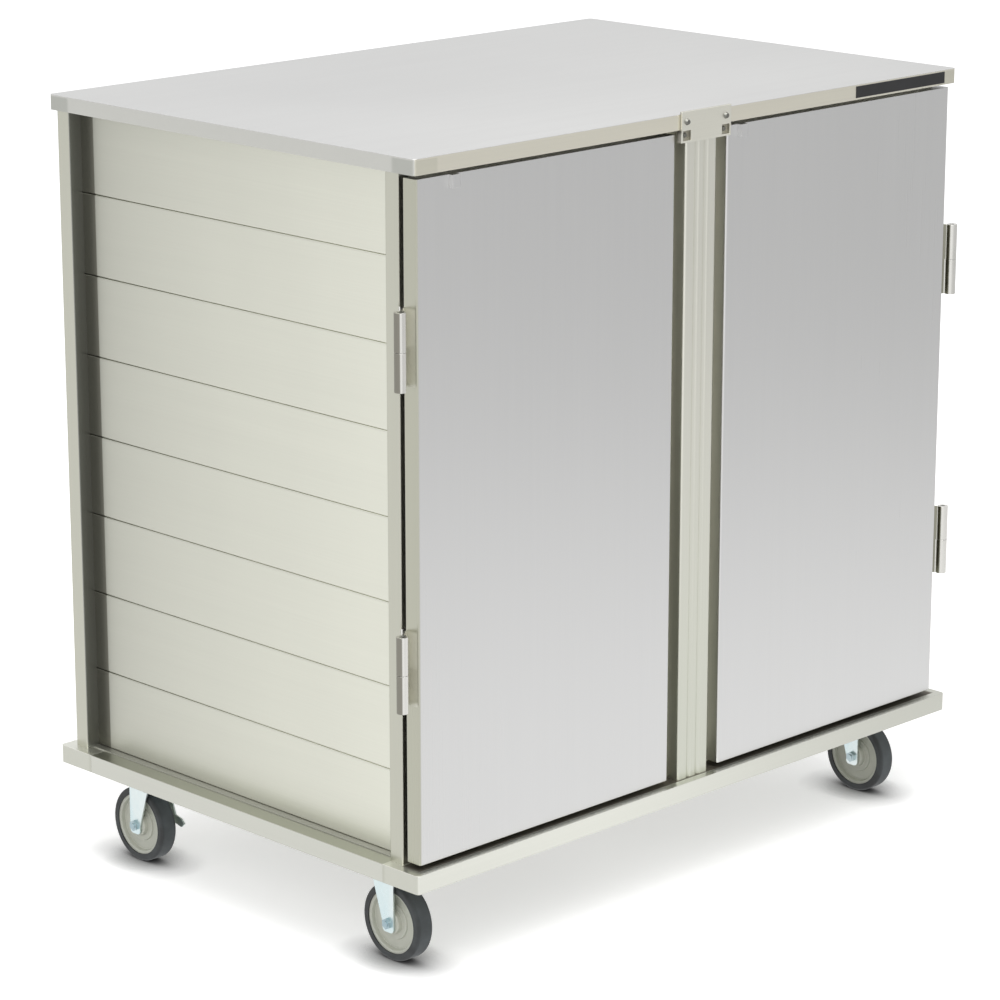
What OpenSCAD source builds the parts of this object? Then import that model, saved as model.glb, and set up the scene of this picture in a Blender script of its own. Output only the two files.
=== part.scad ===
// Enclosed meal tray cart: two hinged doors, two tray compartments, four swivel casters.
// Origin: floor level under the middle of the cart. X runs along the doors, -Y is the front.

/* [Cabinet] */
// Width of the top over its side rims
top_w = 1250; // [1000:10:1500]
// Depth of the top from front rim to rear rim
top_d = 850; // [700:10:1100]
// Height from the upper face of the base to the upper face of the top
body_h = 1100; // [800:10:1500]
// Thickness of the formed sheet
sheet = 1.5; // [1:0.1:2.5]

/* [Top] */
// Height of the rim folded down round the top
rim_h = 25; // [20:1:40]
// Radius of the corners of the top and of the base
corner_r = 6; // [5:1:20]
// How far the rim stands out past the posts at the sides and the back
top_overhang = 8; // [4:1:14]

/* [Base] */
// Height of the base rails
base_h = 30; // [24:1:45]
// How far the base stands out past the rim of the top
base_overhang = 10.5; // [0:0.5:30]
// Width of the front and rear base rails
end_rail_w = 80; // [76:1:110]
// Width of the side base rails
side_rail_w = 30; // [20:1:60]
// Wall thickness of the rails and channels
rail_t = 2.5; // [1.5:0.1:4]
// Width of each channel that carries the casters
channel_w = 90; // [80:1:120]
// Width of the channel under the centre divider
center_channel_w = 130; // [80:1:160]

/* [Posts and front frame] */
// Post size across the front
post_w = 28; // [20:1:45]
// Post size from front to back
post_d = 29; // [20:1:45]
// Radius of the post corners
post_r = 3; // [1.5:0.5:5]
// How far the closed doors lap over the centre post
center_lap = 5.5; // [3:0.5:20]
// Height of the header above the door openings
header_h = 43.5; // [36:0.5:60]
// Height of the sill below the door openings
sill_h = 25; // [18:1:35]

/* [Walls] */
// Number of planks stacked in each wall
plank_count = 8; // [5:1:10]
// How far the side walls stand back from the posts
wall_recess = 25; // [5:1:26]
// How far the back wall stands back from the posts
back_recess = 2; // [0:1:8]
// Depth of the flanges folded in along each plank
plank_flange = 12; // [8:1:18]
// Radius of the folds along each plank
plank_r = 2.5; // [1.6:0.1:4]
// Open seam between two planks
seam = 0.4; // [0.3:0.1:0.9]

/* [Tray ledges] */
// How far each ledge reaches into the compartment
ledge_w = 45; // [30:1:60]
// Height of a ledge
ledge_h = 9.5; // [6:0.5:14]
// Upper face of a ledge above its plank seam
ledge_rise = 2; // [1:0.5:3]
// Distance of each divider panel from the middle of the cart
divider_x = 60; // [40:1:62]
// Width of the flanges that fold in on the divider panels
divider_flange = 20; // [10:1:30]

/* [Doors] */
// Thickness of a door
door_t = 28; // [22:1:36]
// Distance of the door face behind the front of the rim
door_setback = 6; // [2:1:12]
// Distance of the outer door edge inside the end of the rim
door_side_inset = 10; // [8:1:16]
// Gap over the door, below the rim
door_top_gap = 7; // [4:1:12]
// Gap under the door, above the base
door_bottom_gap = 8; // [4:1:14]
// Thickness of the door skin
door_skin_t = 1.2; // [0.8:0.1:2]
// Radius of the upright folds of the door face
door_r = 4; // [2:0.5:6]
// Depth of the flange round the door liner
liner_flange = 14; // [8:1:18]
// Space between the closed door and the front frame
door_gap = 9; // [7:0.5:12]

/* [Centre mullion] */
// Width of the fluted mullion
mullion_w = 71; // [56:1:90]
// Open finger gap between the mullion and each door
finger_gap = 25; // [18:1:30]
// Wall thickness of the mullion extrusion
mullion_t = 3; // [2:0.5:5]
// Radius of its two flutes
flute_r = 9; // [7:0.5:12]
// Depth of its two flutes
flute_depth = 1.8; // [0.8:0.1:2]
// Distance of each flute from the middle of the mullion
flute_x = 10.5; // [9:0.5:14]
// Radius of its front corners
mullion_r = 4; // [2:0.5:6]

/* [Bracket over the rim] */
// Distance of the bracket's ends from the doors
bracket_gap = 3.5; // [2:0.5:10]
// Thickness in front of the rim
bracket_t = 4; // [3:0.5:6]
// Height above the top
bracket_rise = 4; // [0:0.5:8]
// Height below the rim
bracket_drop = 20; // [16:1:30]
// Width of the two pockets
pocket_w = 18; // [12:1:20]
// Depth of the two pockets
pocket_depth = 6; // [3:0.5:8]
// Thickness left round the pockets
pocket_wall = 3; // [2:0.5:4]

/* [Hinges] */
// Distance of the pin outside the end of the rim
pin_out = 18.5; // [16:0.5:30]
// Distance of the pin behind the door face
pin_in = 6.5; // [4:0.5:12]
// Outer diameter of the hinge barrel
barrel_d = 18; // [13:1:20]
// Diameter of the hinge pin
pin_d = 8; // [5:0.5:10]
// Height of a hinge
hinge_h = 120; // [80:2:160]
// Distance of the upper hinge centre below the top of the right door
hinge_top_inset = 298; // [150:1:320]
// Distance of the lower hinge centre above the bottom of the right door
hinge_bottom_inset = 266; // [150:1:320]
// How much higher the hinges of the left door sit
left_hinge_rise = 45; // [0:1:60]
// Thickness of the leaves
leaf_t = 3; // [2:0.5:3.5]
// Width of the leaf on the back of the door
leaf_w = 40; // [25:1:60]

/* [Catches and bumpers] */
// Length of a door magnet
magnet_l = 50; // [30:1:80]
// Height of a door magnet
magnet_h = 10; // [8:1:12]
// Thickness of the strike plate on the door
strike_t = 0.8; // [0.5:0.1:1.5]
// Distance of a catch inside the free edge of its door
catch_inset = 22; // [10:1:60]
// Width of the bumper block on a door face
bumper_w = 15; // [10:1:25]
// Height of the bumper block
bumper_h = 20; // [12:1:30]
// How far the bumper block stands out
bumper_t = 8.5; // [4:0.5:9]
// Bumper distance from the hinge edge of the left door
left_bumper_inset = 66; // [20:1:200]
// Bumper distance from the free edge of the right door
right_bumper_inset = 24; // [8:1:200]

/* [Blank plate] */
// Length of the blank plate on the rim
plate_l = 228; // [100:1:300]
// Height of the blank plate
plate_h = 19; // [10:1:20]
// Thickness of the blank plate
plate_thick = 0.8; // [0.4:0.1:1.5]
// Distance of the blank plate from the right end of the rim
plate_inset = 31; // [20:1:80]

/* [Casters] */
// Wheel diameter
wheel_d = 127; // [100:1:152]
// Tread width
wheel_w = 32; // [24:1:40]
// Thickness of the tyre
tyre_t = 12; // [8:0.1:18]
// Height of the base over the top of the wheels
caster_rise = 31.75; // [28:0.25:50]
// Distance of the axle behind the swivel pin
trail = 25; // [15:1:40]
// Distance of the swivel pin inside the front and rear rims
caster_inset = 140; // [125:1:220]
// Thickness of the fork legs
fork_t = 3; // [2:0.5:5]
// Width of a fork leg at the axle
fork_foot_w = 25; // [22:1:34]
// How far a fork leg reaches below the axle
fork_foot_h = 15; // [12:0.5:20]
// Length of the mounting plate
caster_plate_l = 95; // [88:1:120]
// Width of the mounting plate
caster_plate_w = 67; // [60:1:78]
// Thickness of the mounting plate
caster_plate_t = 3; // [2:0.5:6]
// Diameter of the axle bolt
axle_d = 10; // [8:0.5:12]
// Diameter of the swivel pin
kingpin_d = 12; // [10:0.5:16]

/* [Brakes] */
// Height of the brake lever's blade
brake_h = 14; // [10:1:16]
// Thickness of the brake lever
brake_t = 3; // [2:0.5:4]
// How far the lever's tip stands out past the tyre
brake_reach = 11.5; // [8:0.5:20]
// Diameter of the brake shaft
brake_shaft_d = 8; // [6:0.5:9]
// Width of the brake cam
brake_cam_w = 22; // [12:1:28]
// Turn of the cam's nose from the direction of the axle
brake_cam_turn = 60; // [50:1:70]

/* [Hidden] */
$fn = 64;
eps = 1;
running_gap = 0.05;
seat_gap = 0.1;
swing_gap = 0.3;
seat_fit = 0.02;

caster_h = wheel_d + caster_rise;
base_top = caster_h + base_h;
rim_top = base_top + body_h;
rim_bottom = rim_top - rim_h;
ceiling_z = rim_top - sheet;
half_w = top_w / 2;
half_d = top_d / 2;
base_half_w = half_w + base_overhang;
base_half_d = half_d + base_overhang;

post_x = half_w - top_overhang;
post_in_x = post_x - post_w;
door_front_y = -half_d + door_setback;
door_back_y = door_front_y + door_t;
frame_front_y = door_back_y + door_gap;
frame_back_y = frame_front_y + post_d;
rear_back_y = half_d - top_overhang;
rear_front_y = rear_back_y - post_d;

wall_x = post_x - wall_recess;
wall_in_x = wall_x - sheet - plank_flange;
back_y = rear_back_y - back_recess;
back_in_y = back_y - sheet - plank_flange;
floor_top = base_top + sheet;
plank_pitch = (rim_bottom - floor_top) / plank_count;
side_len = rear_front_y - frame_back_y;
header_z = ceiling_z - header_h;
channel_len = 2 * (base_half_d - end_rail_w);
channel_x = base_half_w - side_rail_w - channel_w / 2;
top_rail_w = post_d;
rear_rail_y = back_y - top_rail_w;

door_out_x = half_w - door_side_inset;
door_in_x = mullion_w / 2 + finger_gap;
door_z = base_top + door_bottom_gap;
door_top_z = rim_bottom - door_top_gap;
door_h = door_top_z - door_z;
pin_x = half_w + pin_out;
pin_y = door_front_y + pin_in;
center_post_half = door_in_x + center_lap;
right_hinge_zs = [door_z + hinge_bottom_inset, door_top_z - hinge_top_inset];
left_hinge_zs = [for (z = right_hinge_zs) z + left_hinge_rise];
leaf_inset = 2;
leaf_knee = 1;
knuckle_h = hinge_h / 2 - swing_gap;
magnet_t = door_gap - strike_t - swing_gap;
catch_lap = 2;
catch_zs = [base_top + sill_h - magnet_h - catch_lap, header_z + catch_lap];

bracket_w = 2 * (door_in_x - bracket_gap);
bracket_front_y = -half_d - bracket_t;
bracket_bolt_x = bracket_w / 2 - pocket_wall - pocket_w / 2;
bracket_bolt_z = rim_bottom + rim_h / 2;
bracket_bolt_d = 6;
pocket_lip = 1;
pocket_bolt_z = rim_bottom - pocket_lip - (bracket_drop - pocket_wall - pocket_lip) / 2;
pocket_bolt_d = 5;
top_screw_x = bracket_w / 2 + 5;
top_screw_y = -half_d + 12;
top_screw_d = 4;
top_screw_head_d = 8;
top_screw_grip = 5;
top_screw_flare = top_screw_head_d - top_screw_d;

axle_z = wheel_d / 2;
hub_w = wheel_w + 4;
fork_in = hub_w / 2 + 1;
fork_out = fork_in + fork_t;
race_h = 6;
race_d = 52;
crown_t = 4;
crown_d = 64;
crown_top = caster_h - caster_plate_t - race_h - swing_gap;
crown_bottom = crown_top - crown_t;
fork_lead = 15;
kingpin_head_d = 22;
kingpin_head_h = 4;
caster_y = half_d - caster_inset;
caster_plate_r = 6;
caster_bolt_d = 8;
caster_bolt_af = 13;
caster_bolt_edge = 10;
caster_bolt_x = caster_plate_w / 2 - caster_bolt_edge;
caster_bolt_y = caster_plate_l / 2 - caster_bolt_edge;
core_r = wheel_d / 2 - tyre_t;
nut_af = 16;
nut_h = 5;
axle_end = 2;
fork_foot_r = 7;
brake_boss_d = 2 * brake_shaft_d;
brake_shaft_end = 1;
brake_y = -2;
brake_z = crown_bottom - 13.5;
brake_lever_x = fork_out + swing_gap;
brake_knee = [trail - 0.74 * axle_z, axle_z + 14.5];
brake_tip = [trail - axle_z - brake_reach + brake_h / 2, axle_z + 9.5];
cam_hub_d = brake_shaft_d + 3;
cam_nose_d = 8;
cam_nose_out = 7;

steel = [0.77, 0.77, 0.73];
door_steel = [0.75, 0.75, 0.76];
zinc = [0.72, 0.80, 0.80];
core_grey = [0.55, 0.54, 0.49];
rubber = [0.22, 0.22, 0.23];
dark = [0.10, 0.10, 0.11];

// A box given by its two corners
module box(lo, hi) {
    translate(lo)
        cube(hi - lo);
}

// The same piece on both sides of the cart
module both_sides() {
    children();
    mirror([1, 0, 0])
        children();
}

// Outline of a rectangle with four round corners
module round_rect(w, d, r) {
    square([w - 2 * r, d], center = true);
    square([w, d - 2 * r], center = true);
    for (x = [-1, 1], y = [-1, 1])
        translate([x * (w / 2 - r), y * (d / 2 - r)])
            circle(r);
}

// Upright tube between two corners
module upright_tube(lo, hi, wall, r) {
    size = hi - lo;
    translate([(lo[0] + hi[0]) / 2, (lo[1] + hi[1]) / 2, lo[2]])
        linear_extrude(size[2])
            difference() {
                round_rect(size[0], size[1], r);
                round_rect(size[0] - 2 * wall, size[1] - 2 * wall, max(r - wall, 0.5));
            }
}

// Tube that lies along X between two corners
module cross_tube(lo, hi, wall) {
    difference() {
        box(lo, hi);
        box(lo + [-eps, wall, wall], hi + [eps, -wall, -wall]);
    }
}

// Tube that lies along Y between two corners
module long_tube(lo, hi, wall) {
    difference() {
        box(lo, hi);
        box(lo + [wall, -eps, wall], hi + [-wall, eps, -wall]);
    }
}

// Upright hexagonal head or nut, given across its flats
module hex(af, h) {
    cylinder(d = af / cos(30), h = h, $fn = 6);
}

// Strip of even thickness from p to q, bent at k
module bent_strip(p, k, q, t) {
    u = (k - p) / norm(k - p);
    v = (q - k) / norm(q - k);
    a = t / 2 * [-u[1], u[0]];
    b = t / 2 * [-v[1], v[0]];
    bend = (a + b) / (1 + u * v);
    polygon([p + a, k + bend, q + b, q - b, k - bend, p - a]);
}

// ---- Top and base ----

module top_panel() {
    color(steel)
        difference() {
            translate([0, 0, rim_bottom])
                linear_extrude(rim_h)
                    round_rect(top_w, top_d, corner_r);
            translate([0, 0, rim_bottom - eps])
                linear_extrude(rim_h - sheet + eps)
                    round_rect(top_w - 2 * sheet, top_d - 2 * sheet, corner_r - sheet);
            for (side = [-1, 1])
                translate([side * bracket_bolt_x, -half_d - eps, bracket_bolt_z])
                    rotate([-90, 0, 0])
                        cylinder(d = bracket_bolt_d + 2 * seat_gap, h = 2 * corner_r);
            translate([top_screw_x, top_screw_y, ceiling_z - eps])
                cylinder(d = top_screw_d + 2 * seat_gap, h = sheet + 2 * eps);
            translate([top_screw_x, top_screw_y, ceiling_z])
                cylinder(d1 = top_screw_d + 2 * seat_gap, h = sheet + eps,
                         d2 = top_screw_d + 2 * seat_gap + top_screw_flare * (sheet + eps) / sheet);
        }
}

// Front or rear rail: a formed channel that is open towards the middle of the cart
module end_rail() {
    inner_y = -base_half_d + end_rail_w;
    difference() {
        translate([0, 0, caster_h])
            linear_extrude(base_h)
                intersection() {
                    round_rect(2 * base_half_w, 2 * base_half_d, corner_r);
                    translate([-base_half_w, -base_half_d])
                        square([2 * base_half_w, end_rail_w]);
                }
        translate([0, 0, caster_h + rail_t])
            linear_extrude(base_h - 2 * rail_t)
                intersection() {
                    round_rect(2 * (base_half_w - rail_t), 2 * (base_half_d - rail_t), corner_r - rail_t);
                    translate([-base_half_w, -base_half_d])
                        square([2 * base_half_w, end_rail_w + eps]);
                }
    }
}

module base_end_rails() {
    color(steel) {
        end_rail();
        mirror([0, 1, 0])
            end_rail();
    }
}

module base_side_rails() {
    color(steel)
        both_sides()
            long_tube([base_half_w - side_rail_w, -channel_len / 2, caster_h],
                      [base_half_w, channel_len / 2, base_top], rail_t);
}

// Channel along Y with its web at the bottom
module base_channel(x, w) {
    difference() {
        box([x - w / 2, -channel_len / 2, caster_h], [x + w / 2, channel_len / 2, base_top]);
        box([x - w / 2 + rail_t, -channel_len / 2 - eps, caster_h + rail_t],
            [x + w / 2 - rail_t, channel_len / 2 + eps, base_top + eps]);
    }
}

module base_channels() {
    color(steel) {
        both_sides()
            difference() {
                base_channel(channel_x, channel_w);
                at_caster_bolts()
                    translate([0, 0, -eps])
                        cylinder(d = caster_bolt_d + 2 * seat_gap, h = rail_t + 2 * eps);
            }
        base_channel(0, center_channel_w);
    }
}

module floor_pan() {
    color(steel)
        difference() {
            box([side_rail_w - base_half_w, frame_back_y, base_top],
                [base_half_w - side_rail_w, back_y, floor_top]);
            both_sides()
                box([post_in_x, rear_front_y, base_top - eps], [base_half_w, back_y + eps, floor_top + eps]);
        }
}

// ---- Frame ----

// Right-hand post between two Y planes
module post(y0, y1) {
    upright_tube([post_in_x, y0, base_top], [post_x, y1, ceiling_z], sheet, post_r);
}

module front_posts() {
    color(steel)
        both_sides()
            post(frame_front_y, frame_back_y);
}

module rear_posts() {
    color(steel)
        both_sides()
            post(rear_front_y, rear_back_y);
}

module center_front_post() {
    color(steel)
        upright_tube([-center_post_half, frame_front_y, base_top],
                     [center_post_half, frame_back_y, header_z], sheet, post_r);
}

module front_header() {
    color(steel)
        cross_tube([-post_in_x, frame_front_y, header_z],
                   [post_in_x, frame_back_y, ceiling_z], sheet);
}

module front_sill() {
    color(steel)
        both_sides()
            cross_tube([center_post_half, frame_front_y, base_top],
                       [post_in_x, frame_back_y, base_top + sill_h], sheet);
}

module top_rails() {
    rail_x = wall_in_x + plank_r;
    color(steel) {
        both_sides()
            long_tube([rail_x, frame_back_y, rim_bottom],
                      [rail_x + top_rail_w, rear_rail_y, ceiling_z], sheet);
        cross_tube([-post_in_x, rear_rail_y, rim_bottom],
                   [post_in_x, back_y, ceiling_z], sheet);
    }
}

// ---- Walls and ledges ----

// Section of a plank: web at x = 0, flanges towards +x, round folds
module plank_section() {
    h = plank_pitch - seam;
    w = sheet + plank_flange;
    translate([0, seam / 2])
        difference() {
            union() {
                translate([plank_r, 0])
                    square([w - plank_r, h]);
                translate([0, plank_r])
                    square([plank_r, h - 2 * plank_r]);
                for (z = [plank_r, h - plank_r])
                    translate([plank_r, z])
                        circle(plank_r);
            }
            translate([sheet, sheet])
                square([w, h - 2 * sheet]);
        }
}

// All planks of the left wall, laid along Y
module side_planks() {
    for (i = [0 : plank_count - 1])
        translate([-wall_x, rear_front_y, floor_top + i * plank_pitch])
            rotate([90, 0, 0])
                linear_extrude(side_len)
                    plank_section();
}

module left_wall_planks() {
    color(steel)
        side_planks();
}

module right_wall_planks() {
    color(steel)
        mirror([1, 0, 0])
            side_planks();
}

module back_wall_planks() {
    color(steel)
        for (i = [0 : plank_count - 1])
            translate([-post_in_x, back_y, floor_top + i * plank_pitch])
                mirror([0, 1, 0])
                    rotate([90, 0, 90])
                        linear_extrude(2 * post_in_x)
                            plank_section();
}

// Ledges of one compartment: an inverted channel at each plank seam, on both of its walls
module compartment_ledges() {
    ledge_y = frame_back_y + 7;
    ledge_len = back_in_y - 6.5 - ledge_y;
    for (i = [1 : plank_count - 1], x = [divider_x, wall_in_x - ledge_w])
        translate([x, ledge_y, floor_top + i * plank_pitch + ledge_rise - ledge_h])
            difference() {
                cube([ledge_w, ledge_len, ledge_h]);
                translate([sheet, -eps, -eps])
                    cube([ledge_w - 2 * sheet, ledge_len + 2 * eps, ledge_h - sheet + eps]);
            }
}

module right_ledges() {
    color(steel)
        compartment_ledges();
}

module left_ledges() {
    color(steel)
        mirror([1, 0, 0])
            compartment_ledges();
}

module divider_panels() {
    color(steel)
        both_sides()
            difference() {
                box([divider_x - divider_flange, frame_back_y, floor_top],
                    [divider_x, back_in_y, ceiling_z]);
                box([divider_x - divider_flange - eps, frame_back_y + sheet, floor_top - eps],
                    [divider_x - sheet, back_in_y - sheet, ceiling_z + eps]);
                box([divider_x - divider_flange - eps, rear_rail_y, rim_bottom],
                    [divider_x + eps, back_in_y + eps, ceiling_z + eps]);
            }
}

// ---- Mullion and bracket ----

module mullion() {
    depth = frame_front_y - door_front_y;
    color(steel)
        translate([0, door_front_y, base_top])
            linear_extrude(rim_bottom - base_top)
                difference() {
                    union() {
                        translate([-mullion_w / 2, mullion_r])
                            square([mullion_w, depth - mullion_r]);
                        translate([-mullion_w / 2 + mullion_r, 0])
                            square([mullion_w - 2 * mullion_r, mullion_r]);
                        for (side = [-1, 1])
                            translate([side * (mullion_w / 2 - mullion_r), mullion_r])
                                circle(mullion_r);
                    }
                    for (side = [-1, 1])
                        translate([side * flute_x, flute_depth - flute_r])
                            circle(flute_r);
                    translate([-mullion_w / 2 + mullion_t, mullion_t + flute_depth])
                        square([mullion_w - 2 * mullion_t, depth - 2 * mullion_t - flute_depth]);
                }
}

module mullion_bracket() {
    pocket_x = bracket_w / 2 - pocket_wall - pocket_w;
    color(steel)
        difference() {
            union() {
                box([-bracket_w / 2, bracket_front_y, rim_bottom - bracket_drop],
                    [bracket_w / 2, -half_d, rim_top + bracket_rise]);
                box([-bracket_w / 2, bracket_front_y, rim_bottom - bracket_drop],
                    [bracket_w / 2, door_front_y, rim_bottom]);
            }
            both_sides() {
                box([pocket_x, bracket_front_y - eps, rim_bottom - bracket_drop + pocket_wall],
                    [pocket_x + pocket_w, bracket_front_y + pocket_depth, rim_bottom - pocket_lip]);
                translate([bracket_bolt_x, bracket_front_y - eps, bracket_bolt_z])
                    rotate([-90, 0, 0])
                        cylinder(d = bracket_bolt_d + 2 * seat_gap, h = bracket_t + 2 * eps);
                translate([bracket_bolt_x, bracket_front_y, pocket_bolt_z])
                    rotate([-90, 0, 0])
                        cylinder(d = pocket_bolt_d + 2 * seat_gap, h = 3 * bracket_t);
            }
        }
}

// Bolt along Y: domed head at the front, grip length, nut at the back
module front_bolt(d, grip) {
    rotate([-90, 0, 0]) {
        translate([0, 0, -0.6 * d])
            cylinder(d1 = 1.2 * d, d2 = 1.8 * d, h = 0.6 * d);
        cylinder(d = d, h = grip + 0.8 * d);
        translate([0, 0, grip])
            hex(1.6 * d, 0.7 * d);
    }
}

module bracket_bolts() {
    color(zinc) {
        both_sides() {
            translate([bracket_bolt_x, bracket_front_y, bracket_bolt_z])
                front_bolt(bracket_bolt_d, bracket_t + sheet);
            translate([bracket_bolt_x, bracket_front_y + pocket_depth, pocket_bolt_z])
                front_bolt(pocket_bolt_d, door_front_y - bracket_front_y - pocket_depth);
        }
        translate([top_screw_x, top_screw_y, ceiling_z])
            cylinder(d1 = top_screw_d, d2 = top_screw_head_d, h = sheet);
        translate([top_screw_x, top_screw_y, ceiling_z - top_screw_grip])
            cylinder(d = top_screw_d, h = top_screw_grip + sheet / 2);
    }
}

module blank_plate() {
    color(dark)
        box([half_w - plate_inset - plate_l, -half_d - plate_thick, bracket_bolt_z - plate_h / 2],
            [half_w - plate_inset, -half_d, bracket_bolt_z + plate_h / 2]);
}

// ---- Catches and hinges ----

module door_magnets() {
    color(dark)
        both_sides()
            for (z = catch_zs)
                box([door_in_x + catch_inset, frame_front_y - magnet_t, z],
                    [door_in_x + catch_inset + magnet_l, frame_front_y, z + magnet_h]);
}

// Frame leaves, drawn on the right side: a plate on the post, bent forward to the lower knuckle
module frame_leaves(zs) {
    leaf_y = frame_front_y - leaf_t / 2;
    for (z = zs)
        difference() {
            union() {
                box([post_in_x + leaf_inset, frame_front_y - leaf_t, z - hinge_h / 2],
                    [post_x, frame_front_y, z + hinge_h / 2]);
                translate([0, 0, z - hinge_h / 2])
                    linear_extrude(knuckle_h)
                        bent_strip([post_in_x + leaf_inset, leaf_y], [post_x, leaf_y],
                                   [pin_x, pin_y], leaf_t);
                translate([pin_x, pin_y, z - hinge_h / 2])
                    cylinder(d = barrel_d, h = knuckle_h);
            }
            translate([pin_x, pin_y, z - hinge_h / 2 - eps])
                cylinder(d = pin_d + 2 * seat_fit, h = hinge_h);
        }
}

module right_hinge_frame_leaves() {
    color(steel)
        frame_leaves(right_hinge_zs);
}

module left_hinge_frame_leaves() {
    color(steel)
        mirror([1, 0, 0])
            frame_leaves(left_hinge_zs);
}

// Hinge pins, drawn on the right side
module pins(zs) {
    for (z = zs)
        translate([pin_x, pin_y, z - hinge_h / 2])
            cylinder(d = pin_d, h = hinge_h);
}

module hinge_pins() {
    color(zinc) {
        pins(right_hinge_zs);
        mirror([1, 0, 0])
            pins(left_hinge_zs);
    }
}

// Door leaves, drawn on the right side: a plate behind the door, bent forward to the upper knuckle
module door_leaves(zs) {
    leaf_y = door_back_y + leaf_t / 2;
    for (z = zs)
        difference() {
            union() {
                box([door_out_x - leaf_w, door_back_y, z - hinge_h / 2],
                    [door_out_x, door_back_y + leaf_t, z + hinge_h / 2]);
                translate([0, 0, z + hinge_h / 2 - knuckle_h])
                    linear_extrude(knuckle_h)
                        bent_strip([door_out_x - leaf_w, leaf_y], [door_out_x + leaf_knee, leaf_y],
                                   [pin_x, pin_y], leaf_t);
                translate([pin_x, pin_y, z + hinge_h / 2 - knuckle_h])
                    cylinder(d = barrel_d, h = knuckle_h);
            }
            translate([pin_x, pin_y, z - hinge_h / 2])
                cylinder(d = pin_d + 2 * running_gap, h = hinge_h + eps);
        }
}

module right_hinge_door_leaves() {
    color(steel)
        door_leaves(right_hinge_zs);
}

module left_hinge_door_leaves() {
    color(steel)
        mirror([1, 0, 0])
            door_leaves(left_hinge_zs);
}

// ---- Doors, drawn on the right side ----

// Outline of the door seen from above, smaller by an inset on its front and both edges
module door_outline(inset, r) {
    w = door_out_x - door_in_x - 2 * inset;
    translate([door_in_x + inset, door_front_y + inset]) {
        translate([0, r])
            square([w, door_t - inset - r]);
        translate([r, 0])
            square([w - 2 * r, r]);
        for (x = [r, w - r])
            translate([x, r])
                circle(r);
    }
}

module door_skin() {
    difference() {
        translate([0, 0, door_z])
            linear_extrude(door_h)
                door_outline(0, door_r);
        translate([0, eps, door_z + door_skin_t])
            linear_extrude(door_h - 2 * door_skin_t)
                translate([0, -eps])
                    door_outline(door_skin_t, door_r - door_skin_t);
        box([door_in_x + door_skin_t, door_back_y - 2 * eps, door_z + door_skin_t],
            [door_out_x - door_skin_t, door_back_y + eps, door_top_z - door_skin_t]);
    }
}

module door_liner() {
    inset = door_skin_t + seat_gap;
    difference() {
        box([door_in_x + inset, door_back_y - liner_flange, door_z + inset],
            [door_out_x - inset, door_back_y, door_top_z - inset]);
        box([door_in_x + inset + sheet, door_back_y - liner_flange - eps, door_z + inset + sheet],
            [door_out_x - inset - sheet, door_back_y - sheet, door_top_z - inset - sheet]);
    }
}

module door_strikes() {
    for (z = catch_zs)
        box([door_in_x + catch_inset, door_back_y, z],
            [door_in_x + catch_inset + magnet_l, door_back_y + strike_t, z + magnet_h]);
}

// Bumper whose nearer side stands at a distance x from the middle of the cart
module bumper(x) {
    box([x, door_front_y - bumper_t, door_top_z - bumper_h],
        [x + bumper_w, door_front_y, door_top_z]);
}

module right_door_skin() {
    color(door_steel)
        door_skin();
}

module right_door_liner() {
    color(steel)
        door_liner();
}

module right_door_strikes() {
    color(zinc)
        door_strikes();
}

module right_door_bumper() {
    color(door_steel)
        bumper(door_in_x + right_bumper_inset);
}

module left_door_skin() {
    color(door_steel)
        mirror([1, 0, 0])
            door_skin();
}

module left_door_liner() {
    color(steel)
        mirror([1, 0, 0])
            door_liner();
}

module left_door_strikes() {
    color(zinc)
        mirror([1, 0, 0])
            door_strikes();
}

module left_door_bumper() {
    color(door_steel)
        mirror([1, 0, 0])
            bumper(door_out_x - left_bumper_inset - bumper_w);
}

// ---- Casters: local origin on the swivel axis, the axle lies at +Y ----

// A caster's place: side -1 or 1 in X, end -1 at the front and 1 at the rear
module at_caster(side, end) {
    translate([side * channel_x, end * caster_y, 0])
        mirror([0, end < 0 ? 1 : 0, 0])
            children();
}

// Four bolt places on each of the two right-hand caster plates
module at_caster_bolts() {
    for (end = [-1, 1], x = [-1, 1], y = [-1, 1])
        translate([channel_x + x * caster_bolt_x, end * caster_y + y * caster_bolt_y, caster_h])
            children();
}

module caster_plates() {
    color(zinc)
        both_sides()
            difference() {
                for (end = [-1, 1])
                    translate([channel_x, end * caster_y, 0]) {
                        translate([0, 0, caster_h - caster_plate_t])
                            linear_extrude(caster_plate_t)
                                round_rect(caster_plate_w, caster_plate_l, caster_plate_r);
                        translate([0, 0, caster_h - caster_plate_t - race_h])
                            cylinder(d1 = race_d - 6, d2 = race_d, h = race_h);
                    }
                for (end = [-1, 1])
                    translate([channel_x, end * caster_y, crown_top])
                        cylinder(d = kingpin_d + 2 * seat_fit, h = caster_h);
                at_caster_bolts()
                    translate([0, 0, -caster_plate_t - eps])
                        cylinder(d = caster_bolt_d + 2 * seat_gap, h = caster_plate_t + 2 * eps);
            }
}

module caster_bolts() {
    head_h = 5;
    bolt_nut_h = 6;
    bolt_end = 2;
    color(zinc)
        both_sides()
            at_caster_bolts() {
                translate([0, 0, -caster_plate_t - head_h])
                    hex(caster_bolt_af, head_h);
                translate([0, 0, -caster_plate_t])
                    cylinder(d = caster_bolt_d, h = caster_plate_t + rail_t + bolt_nut_h + bolt_end);
                translate([0, 0, rail_t])
                    hex(caster_bolt_af, bolt_nut_h);
            }
}

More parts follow.
